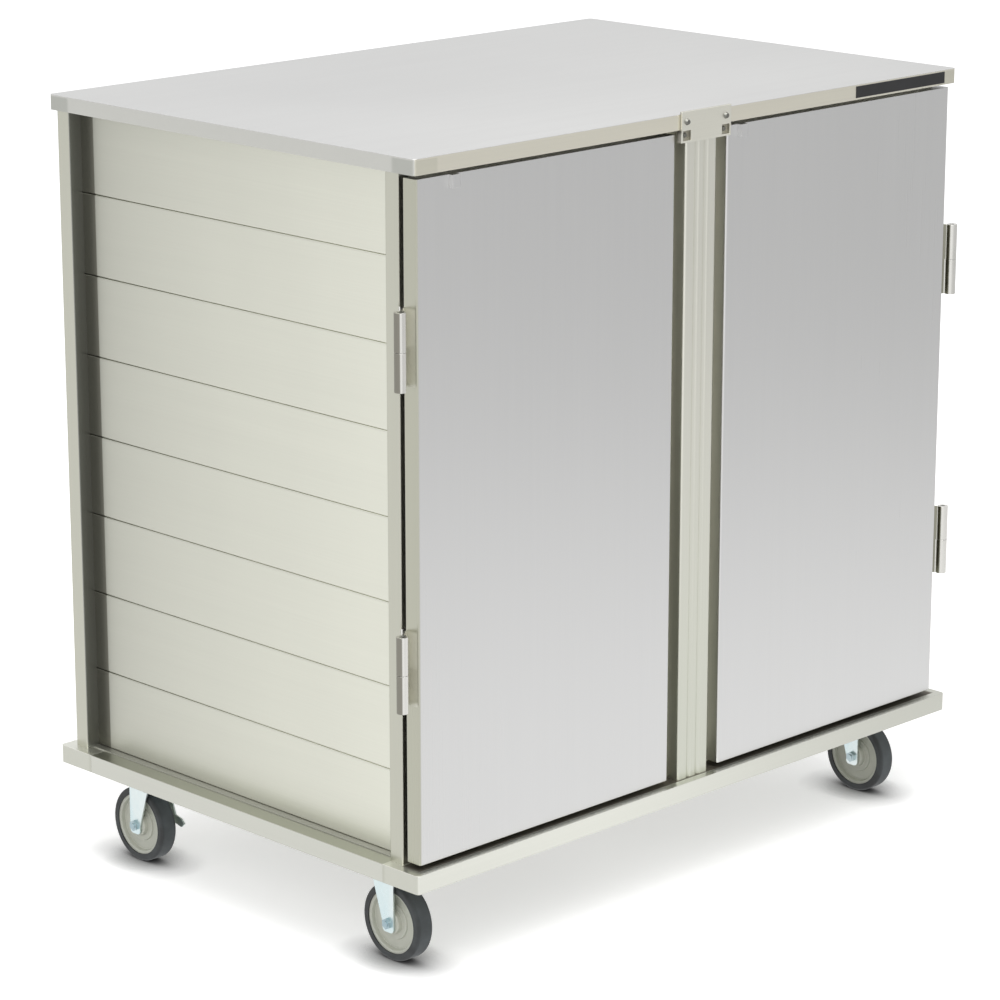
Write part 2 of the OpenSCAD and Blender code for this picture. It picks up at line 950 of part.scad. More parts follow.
module kingpins() {
    color(zinc)
        for (side = [-1, 1], end = [-1, 1])
            at_caster(side, end) {
                translate([0, 0, crown_bottom - swing_gap - kingpin_head_h])
                    cylinder(d1 = kingpin_head_d - 6, d2 = kingpin_head_d, h = kingpin_head_h);
                translate([0, 0, crown_bottom - swing_gap])
                    cylinder(d = kingpin_d, h = caster_h - crown_bottom + swing_gap);
            }
}

// Side view of a fork leg: rounded foot below the axle, upright trailing edge, raked leading edge
module leg_outline() {
    foot_x = fork_foot_w / 2;
    translate([trail, axle_z])
        round_rect(fork_foot_w, 2 * fork_foot_h, fork_foot_r);
    polygon([
        [trail - foot_x, axle_z],
        [trail + foot_x, axle_z],
        [trail + foot_x, crown_top],
        [-fork_lead, crown_top]
    ]);
}

// Fork, with bearings for a brake shaft where it has one
module fork(has_brake) {
    color(zinc)
        difference() {
            union() {
                translate([0, 0, crown_bottom])
                    cylinder(d = crown_d, h = crown_t);
                box([-fork_out, -fork_lead, crown_bottom],
                    [fork_out, trail + fork_foot_w / 2, crown_top]);
                for (side = [-1, 1])
                    translate([side * (fork_in + fork_t / 2), 0, 0])
                        rotate([90, 0, 90])
                            linear_extrude(fork_t, center = true)
                                leg_outline();
            }
            translate([0, 0, crown_bottom - eps])
                cylinder(d = kingpin_d + 2 * running_gap, h = crown_t + 2 * eps);
            translate([-fork_out - eps, trail, axle_z])
                rotate([0, 90, 0])
                    cylinder(d = axle_d + 2 * seat_fit, h = 2 * fork_out + 2 * eps);
            if (has_brake)
                at_brake_shaft()
                    cylinder(d = brake_shaft_d + 2 * running_gap, h = 2 * fork_out + 2 * eps, center = true);
        }
}

module axle() {
    color(zinc)
        translate([0, trail, axle_z])
            rotate([0, 90, 0]) {
                cylinder(d = axle_d, h = 2 * (fork_out + nut_h + axle_end), center = true);
                translate([0, 0, -fork_out - nut_h])
                    hex(nut_af, nut_h);
                translate([0, 0, fork_out])
                    hex(nut_af, nut_h);
            }
}

// Wheel core: boss, dished web and rim round the axle
module hub() {
    bore_r = axle_d / 2 + running_gap;
    boss_r = 0.3 * wheel_d / 2;
    dish_r = 0.45 * wheel_d / 2;
    rim_r = core_r - 5;
    bevel = 1.5;
    boss_x = hub_w / 2;
    step_x = 0.3 * wheel_w;
    web_x = 0.2 * wheel_w;
    rim_x = wheel_w / 2 - 2;
    half = [
        [bore_r, boss_x],
        [boss_r - bevel, boss_x],
        [boss_r, boss_x - bevel],
        [boss_r + bevel, step_x],
        [dish_r, step_x],
        [dish_r + bevel, web_x],
        [rim_r - bevel, web_x],
        [rim_r, rim_x - bevel],
        [rim_r + bevel, rim_x],
        [core_r, rim_x]
    ];
    last = len(half) - 1;
    color(core_grey)
        translate([0, trail, axle_z])
            rotate([0, 90, 0])
                rotate_extrude($fn = 96)
                    polygon(concat(half, [for (i = [last : -1 : 0]) [half[i][0], -half[i][1]]]));
}

module tyre() {
    shoulder = 5;
    inner_r = core_r + seat_fit;
    outer_r = wheel_d / 2;
    color(rubber)
        translate([0, trail, axle_z])
            rotate([0, 90, 0])
                rotate_extrude($fn = 96) {
                    translate([inner_r, -wheel_w / 2])
                        square([outer_r - inner_r - shoulder, wheel_w]);
                    translate([inner_r, -wheel_w / 2 + shoulder])
                        square([outer_r - inner_r, wheel_w - 2 * shoulder]);
                    for (side = [-1, 1])
                        translate([outer_r - shoulder, side * (wheel_w / 2 - shoulder)])
                            circle(shoulder);
                }
}

// Axis of the brake shaft, turned along X
module at_brake_shaft() {
    translate([0, brake_y, brake_z])
        rotate([0, 90, 0])
            children();
}

// Flat lever outside the fork, bent forward to a pointed tip
module brake_lever() {
    color(zinc)
        difference() {
            union() {
                translate([brake_lever_x, 0, 0])
                    rotate([90, 0, 90])
                        linear_extrude(brake_t) {
                            bent_strip([brake_y, brake_z], brake_knee, brake_tip, brake_h);
                            translate(brake_tip)
                                rotate(45)
                                    square(brake_h / sqrt(2), center = true);
                        }
                at_brake_shaft()
                    translate([0, 0, brake_lever_x])
                        cylinder(d = brake_boss_d, h = brake_t);
            }
            at_brake_shaft()
                cylinder(d = brake_shaft_d + 2 * seat_fit, h = brake_lever_x + brake_t + eps);
        }
}

module brake_shaft() {
    color(zinc)
        at_brake_shaft()
            translate([0, 0, -fork_out - brake_shaft_end])
                cylinder(d = brake_shaft_d, h = fork_out + brake_lever_x + brake_t + 2 * brake_shaft_end);
}

// Cam on the shaft over the tread: a round hub with a blunt nose
module brake_cam() {
    nose_angle = atan2(axle_z - brake_z, trail - brake_y) - brake_cam_turn;
    color(zinc)
        translate([0, brake_y, brake_z])
            rotate([90, 0, 90])
                linear_extrude(brake_cam_w, center = true)
                    difference() {
                        union() {
                            circle(d = cam_hub_d);
                            rotate(nose_angle) {
                                translate([0, -cam_nose_d / 2])
                                    square([cam_nose_out, cam_nose_d]);
                                translate([cam_nose_out, 0])
                                    circle(d = cam_nose_d);
                            }
                        }
                        circle(d = brake_shaft_d + 2 * seat_fit);
                    }
}

top_panel();
base_end_rails();
base_side_rails();
base_channels();
floor_pan();
front_posts();
rear_posts();
center_front_post();
front_header();
front_sill();
top_rails();
left_wall_planks();
right_wall_planks();
back_wall_planks();
left_ledges();
right_ledges();
divider_panels();
mullion();
mullion_bracket();
bracket_bolts();
blank_plate();
door_magnets();
left_hinge_frame_leaves();
right_hinge_frame_leaves();
hinge_pins();
left_door_skin();
left_door_liner();
left_door_bumper();
left_door_strikes();
left_hinge_door_leaves();
right_door_skin();
right_door_liner();
right_door_bumper();
right_door_strikes();
right_hinge_door_leaves();
caster_plates();
caster_bolts();
kingpins();
at_caster(-1, -1) fork(false);  // front_left_fork
at_caster(-1, -1) axle();  // front_left_axle
at_caster(-1, -1) hub();  // front_left_hub
at_caster(-1, -1) tyre();  // front_left_tyre
at_caster(1, -1) fork(false);  // front_right_fork
at_caster(1, -1) axle();  // front_right_axle
at_caster(1, -1) hub();  // front_right_hub
at_caster(1, -1) tyre();  // front_right_tyre
at_caster(-1, 1) fork(true);  // rear_left_fork
at_caster(-1, 1) axle();  // rear_left_axle
at_caster(-1, 1) hub();  // rear_left_hub
at_caster(-1, 1) tyre();  // rear_left_tyre
at_caster(-1, 1) brake_lever();  // rear_left_brake_lever
at_caster(-1, 1) brake_shaft();  // rear_left_brake_shaft
at_caster(-1, 1) brake_cam();  // rear_left_brake_cam
at_caster(1, 1) fork(true);  // rear_right_fork
at_caster(1, 1) axle();  // rear_right_axle
at_caster(1, 1) hub();  // rear_right_hub
at_caster(1, 1) tyre();  // rear_right_tyre
at_caster(1, 1) brake_lever();  // rear_right_brake_lever
at_caster(1, 1) brake_shaft();  // rear_right_brake_shaft
at_caster(1, 1) brake_cam();  // rear_right_brake_cam
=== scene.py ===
# Enclosed meal tray cart: brushed stainless cabinet with two doors, on four zinc plated casters.
import math
import bpy
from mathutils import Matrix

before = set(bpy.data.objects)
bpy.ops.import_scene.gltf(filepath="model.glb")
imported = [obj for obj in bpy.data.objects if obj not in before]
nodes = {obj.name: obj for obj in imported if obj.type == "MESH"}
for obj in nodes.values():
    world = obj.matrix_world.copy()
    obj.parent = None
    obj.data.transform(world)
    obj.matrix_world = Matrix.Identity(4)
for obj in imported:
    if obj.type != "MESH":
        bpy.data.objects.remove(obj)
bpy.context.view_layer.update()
scene = bpy.context.scene
print("frame loaded,", len(nodes), "pieces from the model")


cameraSpec = {
    "place": (-4.2573, -4.2675, 2.2214),
    "yaw": 0.7808,          # turned from +Y towards +X, radians
    "pitch": 0.2664,        # looking down, radians
    "lens": 133.2,
    "sensor": 36.0,
}


def makeCamera(spec):
    data = bpy.data.cameras.new("view")
    data.lens = spec["lens"]
    data.sensor_width = spec["sensor"]
    data.clip_end = 60
    camera = bpy.data.objects.new("view", data)
    camera.location = spec["place"]
    camera.rotation_euler = (math.pi / 2 - spec["pitch"], 0, -spec["yaw"])
    scene.collection.objects.link(camera)
    scene.camera = camera


makeCamera(cameraSpec)
print("camera placed")


class Socket:
    # an output of a node, or of what was worked out from it
    def __init__(self, graph, out):
        self.graph = graph
        self.out = out

    def math(self, operation, *values, clamp=False):
        return self.graph.add("ShaderNodeMath", {"operation": operation, "use_clamp": clamp},
                              dict(enumerate(values)))

    def __add__(self, other):
        return self.math("ADD", self, other)

    def __sub__(self, other):
        return self.math("SUBTRACT", self, other)

    def __rsub__(self, other):
        return self.math("SUBTRACT", other, self)

    def __mul__(self, other):
        return self.math("MULTIPLY", self, other)

    def __truediv__(self, other):
        return self.math("DIVIDE", self, other)

    def __rtruediv__(self, other):
        return self.math("DIVIDE", other, self)

    def __pow__(self, other):
        return self.math("POWER", self, other)

    def __rpow__(self, other):
        return self.math("POWER", other, self)

    def __abs__(self):
        return self.math("ABSOLUTE", self)

    __radd__ = __add__
    __rmul__ = __mul__

    def clamped(self):
        return self.math("ADD", self, 0.0, clamp=True)

    def above(self, edge, soft):
        # 0 below the edge, 1 over it, with a soft step between
        return self.graph.add("ShaderNodeMapRange", {"interpolation_type": "SMOOTHSTEP"},
                              {0: self, 1: edge - soft, 2: edge + soft, 3: 0.0, 4: 1.0})

    def atLeast(self, other):
        return self.math("MAXIMUM", self, other)


class Graph:
    def __init__(self, owner):
        owner.use_nodes = True
        self.tree = owner.node_tree
        self.tree.nodes.clear()

    def add(self, kind, settings=None, inputs=None, output=0):
        node = self.tree.nodes.new(kind)
        for key, value in (settings or {}).items():
            setattr(node, key, value)
        for key, value in (inputs or {}).items():
            if isinstance(value, Socket):
                self.tree.links.new(value.out, node.inputs[key])
            else:
                node.inputs[key].default_value = value
        return Socket(self, node.outputs[output]) if len(node.outputs) else node

    def place(self):
        # the piece's own coordinates, in metres
        return self.add("ShaderNodeTexCoord", output="Object")

    def parts(self, vector):
        node = self.add("ShaderNodeSeparateXYZ", {}, {0: vector}).out.node
        return [Socket(self, out) for out in node.outputs]

    def noise(self, vector, scale, detail=2.0, rough=0.5, stretch=None, offset=(0, 0, 0)):
        if stretch:
            vector = self.add("ShaderNodeMapping", {},
                              {"Vector": vector, "Scale": stretch, "Location": offset})
        return self.add("ShaderNodeTexNoise", {}, {"Vector": vector, "Scale": scale, "Detail": detail,
                                                   "Roughness": rough})

    def mixColour(self, factor, first, second, blend="MIX"):
        def full(value):
            return value if isinstance(value, Socket) else (*value, 1)
        return self.add("ShaderNodeMix", {"data_type": "RGBA", "blend_type": blend},
                        {0: factor, 6: full(first), 7: full(second)}, output=2)

    def grey(self, level):
        return self.mixColour(level, (0, 0, 0), (1, 1, 1))

    def vectorValue(self, operation, first, second):
        return self.add("ShaderNodeVectorMath", {"operation": operation}, {0: first, 1: second}, output=1)

    def bump(self, height, strength, distance, normal=None):
        inputs = {"Height": height, "Strength": strength, "Distance": distance}
        if normal:
            inputs["Normal"] = normal
        return self.add("ShaderNodeBump", {}, inputs)

    def rounded(self, radius, samples=6):
        # the normal that rounded edges would give
        return self.add("ShaderNodeBevel", {"samples": samples}, {"Radius": radius})

    def edges(self, radius, gain=4.0):
        # 1 along edges and corners, 0 on open faces
        normal = self.add("ShaderNodeNewGeometry", output="Normal")
        facing = self.vectorValue("DOT_PRODUCT", self.rounded(radius, 4), normal)
        return ((1 - facing) * gain).clamped()

    def rays(self):
        # 1 where the camera, a reflection or a look through glass sees this surface
        node = self.add("ShaderNodeLightPath").out.node
        return [Socket(self, node.outputs[kind]) for kind in
                ("Is Camera Ray", "Is Glossy Ray", "Is Transmission Ray")]

    def finish(self, inputs):
        surface = self.add("ShaderNodeBsdfPrincipled", {}, inputs)
        self.add("ShaderNodeOutputMaterial", {}, {"Surface": surface})


def tinted(colour, gain):
    return tuple(min(1.0, c * gain) for c in colour)


# what the sheets share; a sheet's own dictionary may give another value
sheetLook = {
    "patches": (),          # where, tint, added roughness
    "grainDepth": 0.06,     # how much the grain, bands and clouds shade the sheet
    "bandDepth": 0.04,
    "cloudDepth": 0.08,
    "cloudRise": 1.0,       # height scale of the clouds, of their width's
    "buckle": 0.0006,
    "grainBump": 0.30,
    "pull": 0.0,            # how far the highlight stretches, and which way
    "turn": 0.0,
    "swing": 0.12,          # how far all shading may lighten or darken a sheet
    "grainPull": 0.006,     # scale along the grain, of that across it
    "bandPull": 0.03,
    "bandScale": 0.12,      # scale of the bands, of the grain's
    "bandShift": (3.1, 1.7, 0.4),
    "cloudShift": (0.3, 5.2, 2.2),
    "roughSwing": 0.10,
    "wallDepth": 0.8,       # front to back, over which a wall's sheen rises
    "sheenCurve": 0.5,
    "wearReach": 0.0025,
    "wearShare": 0.3,
    "wearPaleness": 0.25,
    "wearColour": (0.95, 0.95, 0.93),
    "wearShine": 0.08,
    "leastRough": 0.08,
    "swayScale": 2.4,
    "swayStrength": 0.25,
    "grainHeight": 0.00012,
}


def brushedSteel(name, spec):
    look = {**sheetLook, **spec}
    material = bpy.data.materials.new(name)
    graph = Graph(material)
    place = graph.place()
    stretch = [1.0, 1.0, 1.0]
    stretch[look["along"]] = look["grainPull"]
    grain = graph.noise(place, look["grain"], 3.0, 0.6, stretch)
    stretch[look["along"]] = look["bandPull"]
    bands = graph.noise(place, look["grain"] * look["bandScale"], 2.0, 0.5, stretch, look["bandShift"])
    # broad reflections of the room, stood across the grain as on real brushed sheet
    wide = [look["cloud"], look["cloud"], look["cloud"] * look["cloudRise"]]
    cloud = graph.noise(place, 1.0, 2.0, 0.45, wide, look["cloudShift"])
    shade = (grain - 0.5) * look["grainDepth"] + (bands - 0.5) * look["bandDepth"]
    shade = shade + (cloud - 0.5) * look["cloudDepth"]
    swing = look["swing"]
    level = (shade / (2 * swing) + 0.5).clamped()
    colour = graph.mixColour(level, tinted(look["colour"], 1 - swing), tinted(look["colour"], 1 + swing))
    if "sheen" in look:
        # brighter towards the front of the cart, where more light reaches the wall
        forward = (0.5 - graph.parts(place)[1] / look["wallDepth"]).clamped() ** look["sheenCurve"]
        low, high = look["sheen"]
        sheen = graph.mixColour(forward, (low,) * 3, (high,) * 3)
        colour = graph.mixColour(1.0, colour, sheen, "MULTIPLY")
    rough = look["rough"] + (grain - 0.5) * look["roughSwing"] + (cloud - 0.5) * look["roughSwing"]
    for patch, tint, duller in look["patches"]:
        mask = patch(graph, place)
        colour = graph.mixColour(mask, colour, graph.mixColour(1.0, colour, tint, "MULTIPLY"))
        rough = rough + mask * duller
    wear = graph.edges(look["wearReach"])
    worn = graph.mixColour(look["wearPaleness"], colour, look["wearColour"])
    colour = graph.mixColour(wear * look["wearShare"], colour, worn)
    rough = (rough - wear * look["wearShine"]).atLeast(look["leastRough"])
    sway = graph.noise(place, look["swayScale"], 1.0, 0.4)
    buckle = graph.bump(sway, look["swayStrength"], look["buckle"], graph.rounded(look["edge"]))
    normal = graph.bump(grain, look["grainBump"], look["grainHeight"], buckle)
    graph.finish({"Base Color": colour, "Metallic": 1.0, "Roughness": rough, "Normal": normal,
                  "Anisotropic": look["pull"], "Anisotropic Rotation": look["turn"]})
    return material


# where the patches on the sheets begin or end, in metres, and how soft each step is
marks = {
    "rimCornerX": (0.578, 0.004), "rimCornerY": (0.378, 0.004), "rimWeldTop": (1.2862, 0.0012),
    "rimFrontLit": (0.4236, 0.0008), "rimSideShade": (0.6236, 0.0008), "rimTop": (1.2880, 0.0004),
    "baseWeldStart": (0.350, 0.003), "baseWeldEnd": (0.361, 0.003),
    "baseCorner": (0.6340, 0.0010), "baseSideTop": (0.1880, 0.0004), "baseTop": (0.1882, 0.0004),
    "baseRightShade": (0.15, 0.50),
    "shadowFront": (-0.4210, 0.0014), "shadowBack": (-0.3840, 0.0010), "shadowEnd": (0.6210, 0.0050),
    "doorEdge": (0.6125, 0.0012), "doorFold": (-0.4150, 0.0012), "hingeHalf": (0.0580, 0.0030),
    "barrelFacing": (0.30, 0.12), "barrel": (0.6330, 0.0010),
    "bendStart": (0.6120, 0.0010), "bendEnd": (0.6350, 0.0005),
    "mullionFootShade": (0.55, 0.40), "bracketFace": (-0.4275, 0.0004),
    "postRevealShade": (0.3886, 0.0004), "wallEndShade": (0.3565, 0.0012),
}
leftHingesAt = (0.5098, 1.0058)
barrelShadeReach = 0.55      # how far the painted shade runs round a barrel to its back


def rimWelds(graph, place):
    # ground welds at the four corners of the rim, below its upper edge
    x, y, z = graph.parts(place)
    corner = abs(x).above(*marks["rimCornerX"]) * abs(y).above(*marks["rimCornerY"])
    return corner * (1 - z.above(*marks["rimWeldTop"]))


def rimFrontLit(graph, place):
    # painted light: the rim's front faces lightened and warmed
    y, z = graph.parts(place)[1:]
    return (0 - y).above(*marks["rimFrontLit"]) * (1 - z.above(*marks["rimTop"]))


def rimSideShade(graph, place):
    # painted shade: the rim's side faces darkened
    x, _, z = graph.parts(place)
    return abs(x).above(*marks["rimSideShade"]) * (1 - z.above(*marks["rimTop"]))


def baseWelds(graph, place):
    # dressed welds where the side rails meet the front and rear rails
    y = abs(graph.parts(place)[1])
    return y.above(*marks["baseWeldStart"]) * (1 - y.above(*marks["baseWeldEnd"]))


def baseCornerShade(graph, place):
    # painted shade: the rail ends, where they turn the corners to face sideways, darkened
    x, _, z = graph.parts(place)
    return abs(x).above(*marks["baseCorner"]) * (1 - z.above(*marks["baseSideTop"]))


def baseRightShade(graph, place):
    # painted shade: the base darker towards its right end
    return graph.parts(place)[0].above(*marks["baseRightShade"])


def baseTop(graph, place):
    # painted shade: the side rails' top faces darkened
    return graph.parts(place)[2].above(*marks["baseTop"])


def shadowUnderDoors(graph, place):
    # painted shadow: the base darkened, and a little rougher, below the doors
    x, y, z = graph.parts(place)
    strip = z.above(*marks["baseTop"]) * y.above(*marks["shadowFront"])
    strip = strip * (1 - y.above(*marks["shadowBack"]))
    return strip * (1 - abs(x).above(*marks["shadowEnd"]))


def doorEdgeShade(graph, place):
    # painted shade: the doors' side returns darkened and warmed
    return abs(graph.parts(place)[0]).above(*marks["doorEdge"])


def hingeShadowLift(graph, place):
    # painted light: the left door's return beside its barrels, lightened against the shade the barrels
    # leave there
    x, y, z = graph.parts(place)
    lower, upper = [1 - abs(z - at).above(*marks["hingeHalf"]) for at in leftHingesAt]
    return (lower + upper) * (0 - x).above(*marks["doorEdge"]) * y.above(*marks["doorFold"])


def barrelShadeSide(graph, place):
    # painted shade: the side of a left barrel that looks away from the doors' fronts is darkened, and a
    # little rougher
    x, y, _ = graph.parts(graph.add("ShaderNodeTexCoord", output="Normal"))
    away = (y * barrelShadeReach - x).above(*marks["barrelFacing"])
    return away * (0 - graph.parts(place)[0]).above(*marks["barrel"])


def leafBendShade(graph, place):
    # painted shade: the bent strip between the right door's edge and its barrels, darkened
    x = graph.parts(place)[0]
    return x.above(*marks["bendStart"]) * (1 - x.above(*marks["bendEnd"]))


def mullionFootShade(graph, place):
    # painted shade: the mullion darker towards its foot
    return 1 - graph.parts(place)[2].above(*marks["mullionFootShade"])


def bracketRecessShade(graph, place):
    # painted shade: the pockets and sides of the bracket, behind its face, darkened
    return graph.parts(place)[1].above(*marks["bracketFace"])


def postRevealShade(graph, place):
    # painted shade: the face of a rear post that looks along the recessed wall, darkened
    return 1 - graph.parts(place)[1].above(*marks["postRevealShade"])


def wallEndShade(graph, place):
    # painted shade: dark strip where the planks run in behind the rear post
    return graph.parts(place)[1].above(*marks["wallEndShade"])


warmSteel = (0.665, 0.668, 0.590)
coolSteel = (0.750, 0.750, 0.745)

plankSheet = {"colour": warmSteel, "rough": 0.36, "edge": 0.0010, "grain": 520.0, "grainDepth": 0.07,
              "cloud": 5.5, "cloudRise": 0.35, "cloudDepth": 0.10, "buckle": 0.0012,
              "pull": 0.6, "turn": 0.25}
postSheet = {"colour": (0.585, 0.585, 0.505), "along": 2, "rough": 0.32, "edge": 0.0010, "grain": 520.0,
             "cloud": 2.0, "pull": 0.5}
railSheet = {"rough": 0.35, "edge": 0.0014, "grain": 480.0, "cloud": 3.0}

# along: axis of the grain, 0 for x; edge: reach of the rounded edges; grain, cloud: how fine they are
steelSpecs = {
    "topSheet": {"colour": (0.765, 0.765, 0.757), "along": 0, "rough": 0.33, "edge": 0.0012,
                 "grain": 420.0, "grainDepth": 0.05, "bandDepth": 0.03, "cloud": 1.4, "cloudDepth": 0.05,
                 "buckle": 0.0010, "grainBump": 0.25,
                 "patches": [(rimFrontLit, (1.16, 1.12, 0.98), 0.0), (rimSideShade, (0.84, 0.84, 0.80), 0.0),
                             (rimWelds, (0.84, 0.85, 0.84), 0.12)]},
    "wallSheet": {**plankSheet, "along": 1, "sheen": (0.70, 1.25),
                  "patches": [(wallEndShade, (0.40, 0.39, 0.37), 0.0)]},
    "backSheet": {**plankSheet, "along": 0},
    "rearPostSheet": {**postSheet, "patches": [(postRevealShade, (0.50, 0.51, 0.56), 0.0)]},
    "frontPostSheet": postSheet,
    "baseSheet": {**railSheet, "colour": (0.850, 0.856, 0.785), "along": 0,
                  "patches": [(baseWelds, (0.93, 0.93, 0.92), 0.06), (baseCornerShade, (0.75, 0.75, 0.73), 0.0),
                              (baseRightShade, (0.76, 0.76, 0.75), 0.0), (shadowUnderDoors, (0.22, 0.20, 0.18), 0.2)]},
    "baseSideSheet": {**railSheet, "colour": (0.660, 0.665, 0.605), "along": 1,
                      "patches": [(baseTop, (0.78, 0.79, 0.74), 0.0)]},
    "doorSheet": {"colour": coolSteel, "along": 2, "rough": 0.30, "edge": 0.0008,
                  "grain": 600.0, "grainDepth": 0.04, "bandDepth": 0.015, "cloud": 1.1, "cloudRise": 0.6,
                  "cloudDepth": 0.03, "buckle": 0.0010, "grainBump": 0.22,
                  "patches": [(doorEdgeShade, (0.69, 0.69, 0.58), 0.0),
                              (hingeShadowLift, (1.60, 1.59, 1.70), 0.1)]},
    "innerSheet": {"colour": (0.50, 0.50, 0.46), "along": 1, "rough": 0.42, "edge": 0.0006,
                   "grain": 420.0, "cloud": 2.2},
    "frameSheet": {"colour": (0.72, 0.71, 0.60), "along": 2, "rough": 0.40, "edge": 0.0008,
                   "grain": 420.0, "cloud": 2.2},
    "mullionSheet": {"colour": (0.86, 0.855, 0.77), "along": 2, "rough": 0.34, "edge": 0.0016,
                     "grain": 560.0, "cloud": 2.0, "cloudDepth": 0.06, "buckle": 0.0004, "pull": 0.4,
                     "patches": [(mullionFootShade, (0.80, 0.82, 0.80), 0.0)]},
    "bracketSheet": {"colour": (0.90, 0.885, 0.79), "along": 0, "rough": 0.36, "edge": 0.0012,
                     "grain": 560.0, "cloud": 6.0, "cloudDepth": 0.06, "buckle": 0.0004,
                     "patches": [(bracketRecessShade, (0.55, 0.54, 0.53), 0.1)]},
    "hingeSteel": {"colour": (0.82, 0.81, 0.77), "along": 2, "rough": 0.28, "edge": 0.0008,
                   "grain": 700.0, "grainDepth": 0.08, "bandDepth": 0.05, "cloud": 20.0, "buckle": 0.0002,
                   "patches": [(barrelShadeSide, (0.34, 0.33, 0.30), 0.1), (leafBendShade, (0.42, 0.42, 0.36), 0.1)]},
    "boltSteel": {"colour": (0.22, 0.22, 0.20), "along": 1, "rough": 0.42, "edge": 0.0004,
                  "grain": 1500.0, "grainDepth": 0.08, "bandDepth": 0.05, "cloud": 60.0, "cloudDepth": 0.10,
                  "buckle": 0.0001, "grainBump": 0.20},
}


zincSpecs = {
    "zinc": {"colour": (0.72, 0.85, 0.87), "blush": (0.84, 0.91, 0.90), "rough": 0.30,
             "spangle": 160.0, "spangleDepth": 0.12},
    "zincNuts": {"colour": (0.40, 0.53, 0.58), "blush": (0.58, 0.68, 0.70), "rough": 0.36,
                 "spangle": 260.0, "spangleDepth": 0.25},
    "zincLever": {"colour": (0.62, 0.72, 0.68), "blush": (0.70, 0.78, 0.72), "rough": 0.48,
                  "spangle": 200.0, "spangleDepth": 0.20},
}
# what the zinc plated pieces share
zincLook = {
    "spangleMark": (0.5, 0.3),
    "spangleTint": 0.8,
    "spangleRough": 0.18,
    "spangleHeight": 0.00008,
    "blushScale": 26.0,
    "blushPull": (1, 1, 0.5),
    "blushShift": (7.0, 1.0, 2.0),
    "blushMark": (0.52, 0.16),
    "blushRough": 0.1,
    "wearReach": 0.0012,
    "wearShare": 0.5,
    "wearColour": (0.86, 0.90, 0.90),
    "edge": 0.0008,
}


def zincPlate(name, spec):
    look = {**zincLook, **spec}
    material = bpy.data.materials.new(name)
    graph = Graph(material)
    place = graph.place()
    spangle = graph.noise(place, look["spangle"], 3.0, 0.65)
    blush = graph.noise(place, look["blushScale"], 2.0, 0.5, look["blushPull"], look["blushShift"])
    colour = graph.mixColour(blush.above(*look["blushMark"]), look["colour"], look["blush"])
    dark = spangle.above(*look["spangleMark"]) * look["spangleDepth"]
    colour = graph.mixColour(dark, colour, tinted(look["colour"], look["spangleTint"]))
    wear = graph.edges(look["wearReach"])
    colour = graph.mixColour(wear * look["wearShare"], colour, look["wearColour"])
    rough = look["rough"] + (spangle - 0.5) * look["spangleRough"] + (blush - 0.5) * look["blushRough"]
    normal = graph.bump(spangle, 0.2, look["spangleHeight"], graph.rounded(look["edge"]))
    graph.finish({"Base Color": colour, "Metallic": 1.0, "Roughness": rough, "Normal": normal})
    return material


coreSpec = {
    "colour": (0.52, 0.53, 0.46),
    "flowTint": 1.25,
    "flowScale": 70.0,
    "flowDepth": 0.6,
    "flowLevel": 0.25,
    "flowRough": 0.2,
    "pale": (0.86, 0.87, 0.80),     # scuffs
    "wearReach": 0.0018,
    "wearShare": 0.7,
    "rough": 0.34,
    "speckScale": 900.0,
    "speckRough": 0.12,
    "speckHeight": 0.0001,
    "edge": 0.0012,
    "coat": 0.15,
    "coatRough": 0.25,
}


def wheelCore(name, spec):
    # moulded core: faint flow marks round the axle, pale scuffs along edges
    material = bpy.data.materials.new(name)
    graph = Graph(material)
    place = graph.place()
    flow = graph.noise(place, spec["flowScale"])
    speck = graph.noise(place, spec["speckScale"], 2.0, 0.6)
    wear = graph.edges(spec["wearReach"])
    level = (flow - 0.5) * spec["flowDepth"] + spec["flowLevel"]
    colour = graph.mixColour(level, spec["colour"], tinted(spec["colour"], spec["flowTint"]))
    colour = graph.mixColour(wear * spec["wearShare"], colour, spec["pale"])
    rough = spec["rough"] + (flow - 0.5) * spec["flowRough"] + (speck - 0.5) * spec["speckRough"]
    normal = graph.bump(speck, 0.15, spec["speckHeight"], graph.rounded(spec["edge"]))
    graph.finish({"Base Color": colour, "Roughness": rough, "Normal": normal,
                  "Coat Weight": spec["coat"], "Coat Roughness": spec["coatRough"]})
    return material


tyreSpec = {
    "colour": (0.034, 0.036, 0.037),
    "dust": (0.100, 0.116, 0.122),
    "rough": 0.55,
    "wheelAt": 0.5605,              # how far a wheel stands from the cart's middle
    "treadMark": (0.0115, 0.004),   # half the tread's width, and its soft edge
    "treadDust": 0.45,
    "treadRough": 0.06,
    "cloudScale": 28.0,
    "cloudMark": (0.5, 0.2),
    "cloudDust": 0.35,
    "gritScale": 700.0,
    "gritDust": 0.4,
    "gritRough": 0.2,
    "gritHeight": 0.0002,
    "specular": 0.45,
}


def tyreRubber(name, spec):
    material = bpy.data.materials.new(name)
    graph = Graph(material)
    place = graph.place()
    x = abs(graph.parts(place)[0])
    grit = graph.noise(place, spec["gritScale"], 3.0, 0.65)
    cloud = graph.noise(place, spec["cloudScale"])
    tread = 1 - abs(x - spec["wheelAt"]).above(*spec["treadMark"])
    dust = tread * spec["treadDust"] + cloud.above(*spec["cloudMark"]) * spec["cloudDust"]
    dust = (dust + (grit - 0.5) * spec["gritDust"]).clamped()
    colour = graph.mixColour(dust, spec["colour"], spec["dust"])
    rough = spec["rough"] + (grit - 0.5) * spec["gritRough"] + tread * spec["treadRough"]
    graph.finish({"Base Color": colour, "Roughness": rough, "Specular IOR Level": spec["specular"],
                  "Normal": graph.bump(grit, 0.35, spec["gritHeight"])})
    return material


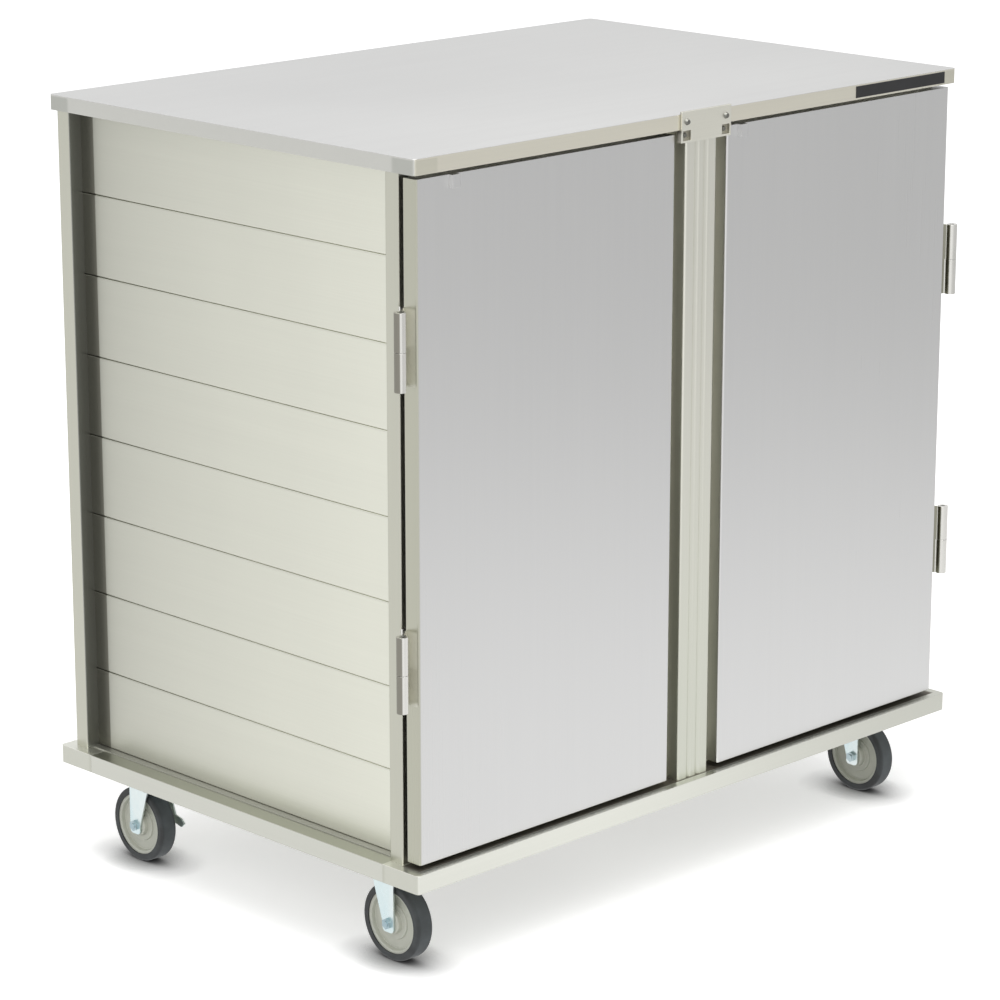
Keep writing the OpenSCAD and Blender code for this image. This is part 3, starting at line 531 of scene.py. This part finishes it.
plateSpec = {"colour": (0.012, 0.012, 0.013), "rough": 0.34}
magnetSpec = {"colour": (0.03, 0.03, 0.032), "rough": 0.5}
# what the plate and the magnets share
plasticLook = {
    "smearScale": 30.0,
    "smearLevel": 0.4,
    "smearDepth": 0.8,
    "smearTint": 2.2,
    "smearRough": 0.2,
    "gritScale": 1400.0,
    "gritRough": 0.1,
    "gritHeight": 0.00005,
    "wearReach": 0.0006,
    "wearShare": 0.5,
    "wearColour": (0.06, 0.06, 0.06),
}


def darkPlastic(name, spec):
    look = {**plasticLook, **spec}
    material = bpy.data.materials.new(name)
    graph = Graph(material)
    place = graph.place()
    grit = graph.noise(place, look["gritScale"], 2.0, 0.6)
    smear = graph.noise(place, look["smearScale"])
    wear = graph.edges(look["wearReach"])
    level = (smear - look["smearLevel"]).clamped() * look["smearDepth"]
    colour = graph.mixColour(level, look["colour"], tinted(look["colour"], look["smearTint"]))
    colour = graph.mixColour(wear * look["wearShare"], colour, look["wearColour"])
    rough = look["rough"] + (smear - 0.5) * look["smearRough"] + (grit - 0.5) * look["gritRough"]
    graph.finish({"Base Color": colour, "Roughness": rough,
                  "Normal": graph.bump(grit, 0.2, look["gritHeight"])})
    return material


finishes = {name: brushedSteel(name, spec) for name, spec in steelSpecs.items()}
finishes.update((name, zincPlate(name, spec)) for name, spec in zincSpecs.items())
finishes["wheelCore"] = wheelCore("wheelCore", coreSpec)
finishes["tyreRubber"] = tyreRubber("tyreRubber", tyreSpec)
finishes["blankPlate"] = darkPlastic("blankPlate", plateSpec)
finishes["magnet"] = darkPlastic("magnet", magnetSpec)
print("finishes made:", len(finishes))


pieceFinish = {
    "top_panel": "topSheet",
    "base_end_rails": "baseSheet",
    "base_side_rails": "baseSideSheet",
    "base_channels": "innerSheet",
    "floor_pan": "innerSheet",
    "front_posts": "frontPostSheet",
    "rear_posts": "rearPostSheet",
    "center_front_post": "frameSheet",
    "front_header": "frameSheet",
    "front_sill": "frameSheet",
    "top_rails": "innerSheet",
    "left_wall_planks": "wallSheet",
    "right_wall_planks": "wallSheet",
    "back_wall_planks": "backSheet",
    "left_ledges": "innerSheet",
    "right_ledges": "innerSheet",
    "divider_panels": "innerSheet",
    "mullion": "mullionSheet",
    "mullion_bracket": "bracketSheet",
    "bracket_bolts": "boltSteel",
    "blank_plate": "blankPlate",
    "door_magnets": "magnet",
    "hinge_pins": "boltSteel",
    "caster_plates": "zinc",
    "caster_bolts": "zinc",
    "kingpins": "zinc",
}
for side in ("left", "right"):
    pieceFinish[side + "_hinge_frame_leaves"] = "hingeSteel"
    pieceFinish[side + "_hinge_door_leaves"] = "hingeSteel"
    pieceFinish[side + "_door_skin"] = "doorSheet"
    pieceFinish[side + "_door_liner"] = "doorSheet"
    pieceFinish[side + "_door_bumper"] = "doorSheet"
    pieceFinish[side + "_door_strikes"] = "boltSteel"
    for end in ("front_", "rear_"):
        pieceFinish[end + side + "_fork"] = "zinc"
        pieceFinish[end + side + "_axle"] = "zincNuts"
        pieceFinish[end + side + "_hub"] = "wheelCore"
        pieceFinish[end + side + "_tyre"] = "tyreRubber"
    for part in ("lever", "shaft", "cam"):
        pieceFinish["rear_" + side + "_brake_" + part] = "zincLever"

for name, finish in pieceFinish.items():
    piece = nodes[name]
    piece.data.materials.clear()
    piece.data.materials.append(finishes[finish])
print("pieces finished:", len(pieceFinish))


floorSpec = {
    "half": 11.0,
    "nearFloor": 0.98,      # what the steel mirrors close to the cart
    "farFloor": 0.60,       # and far off
    "farMark": (3.1, 2.3),
    "leftGlow": 0.04,       # how much brighter the floor mirrors on the cart's left
    "leftMark": (0.9, 0.4),
    "bounce": (0.80, 0.80, 0.80, 1),    # its colour to all other light
    "contactReach": 0.07,   # painted contact shadow: dark close to where a wheel stands
    "contactCurve": 2.2,
    "contactShadowTone": (0.10, 0.10, 0.10),
    "tones": (0.92, 0.95),
    "speckleScale": 40.0,
    "lift": 0.40,           # light of the floor's own, that brings it to white
    # more of the floor's own light beyond liftMark, so the floor near the cart is darker: a painted shadow
    "farLift": 0.25,
    "liftMark": (1.3, 0.5),
}


def makeFloor(spec):
    half = spec["half"]
    mesh = bpy.data.meshes.new("floor")
    corners = [(-half, -half, 0), (half, -half, 0), (half, half, 0), (-half, half, 0)]
    mesh.from_pydata(corners, [], [(0, 1, 2, 3)])
    floor = bpy.data.objects.new("floor", mesh)
    scene.collection.objects.link(floor)
    material = bpy.data.materials.new("studioFloor")
    graph = Graph(material)
    place = graph.place()
    isCamera, isGlossy, isThrough = graph.rays()
    reach = graph.vectorValue("LENGTH", place, (0, 0, 0))
    speckle = graph.noise(place, spec["speckleScale"])
    # painted contact shadow, from how closed in the floor is
    openness = graph.add("ShaderNodeAmbientOcclusion", {"samples": 12}, {"Distance": spec["contactReach"]},
                         output=1)
    contact = openness ** spec["contactCurve"]
    dull, bright = spec["tones"]
    tone = graph.mixColour(speckle, (dull,) * 3, (bright,) * 3)
    tone = graph.mixColour(contact, spec["contactShadowTone"], tone)
    shadowed = graph.add("ShaderNodeBsdfDiffuse", {}, {"Color": tone})
    # painted shadow: the floor's own light is lower near the cart and where the wheels stand
    white = (spec["lift"] + reach.above(*spec["liftMark"]) * spec["farLift"]) * contact
    lift = graph.add("ShaderNodeEmission", {}, {"Color": graph.grey(white), "Strength": 1.0})
    seen = graph.add("ShaderNodeAddShader", {}, {0: shadowed, 1: lift})
    pale = graph.add("ShaderNodeBsdfDiffuse", {}, {"Color": spec["bounce"]})
    leftward = (0 - graph.parts(place)[0]).above(*spec["leftMark"])
    far = reach.above(*spec["farMark"]) * (1 - leftward)
    level = spec["nearFloor"] + far * (spec["farFloor"] - spec["nearFloor"]) + leftward * spec["leftGlow"]
    mirrored = graph.add("ShaderNodeEmission", {}, {"Color": graph.grey(level), "Strength": 1.0})
    surface = graph.add("ShaderNodeMixShader", {}, {0: isGlossy.atLeast(isThrough), 1: pale, 2: mirrored})
    surface = graph.add("ShaderNodeMixShader", {}, {0: isCamera, 1: surface, 2: seen})
    graph.add("ShaderNodeOutputMaterial", {}, {"Surface": surface})
    mesh.materials.append(material)


roomSpec = {
    "fill": 0.62,           # the room's light on the cart
    "horizon": 0.66,        # what the steel mirrors level with it
    "overhead": 1.0,        # and above it
    "riseMark": (0.35, 0.35),
}


def makeRoom(spec):
    world = bpy.data.worlds.new("studio")
    scene.world = world
    graph = Graph(world)
    isCamera, isGlossy, isThrough = graph.rays()
    rise = graph.parts(graph.add("ShaderNodeTexCoord", output="Generated"))[2].above(*spec["riseMark"])
    level = spec["horizon"] + rise * (spec["overhead"] - spec["horizon"])
    white = (1, 1, 1, 1)
    fill = graph.add("ShaderNodeBackground", {}, {"Color": white, "Strength": spec["fill"]})
    mirrored = graph.add("ShaderNodeBackground", {}, {"Color": graph.grey(level), "Strength": 1.0})
    seen = graph.add("ShaderNodeBackground", {}, {"Color": white, "Strength": 1.0})
    surface = graph.add("ShaderNodeMixShader", {}, {0: isGlossy, 1: fill, 2: mirrored})
    surface = graph.add("ShaderNodeMixShader", {}, {0: isCamera.atLeast(isThrough), 1: surface, 2: seen})
    graph.add("ShaderNodeOutputWorld", {}, {"Surface": surface})


lampSpecs = {
    "overhead": {"place": (-0.6, -0.8, 3.6), "size": 3.0, "power": 95.0, "aim": (0, 0, 0.4)},
    "frontLeft": {"place": (-3.6, -2.2, 2.6), "size": 1.8, "power": 26.0, "aim": (0, 0, 0.7)},
}


def makeLamp(name, spec):
    data = bpy.data.lights.new(name, "AREA")
    data.shape = "SQUARE"
    data.size = spec["size"]
    data.energy = spec["power"]
    lamp = bpy.data.objects.new(name, data)
    lamp.location = spec["place"]
    way = [a - b for a, b in zip(spec["aim"], spec["place"])]
    flat = math.hypot(way[0], way[1])
    lamp.rotation_euler = (math.atan2(flat, -way[2]), 0, math.atan2(-way[0], way[1]))
    scene.collection.objects.link(lamp)


makeFloor(floorSpec)
makeRoom(roomSpec)
for name, spec in lampSpecs.items():
    makeLamp(name, spec)
scene.view_settings.view_transform = "Standard"
print("studio ready")
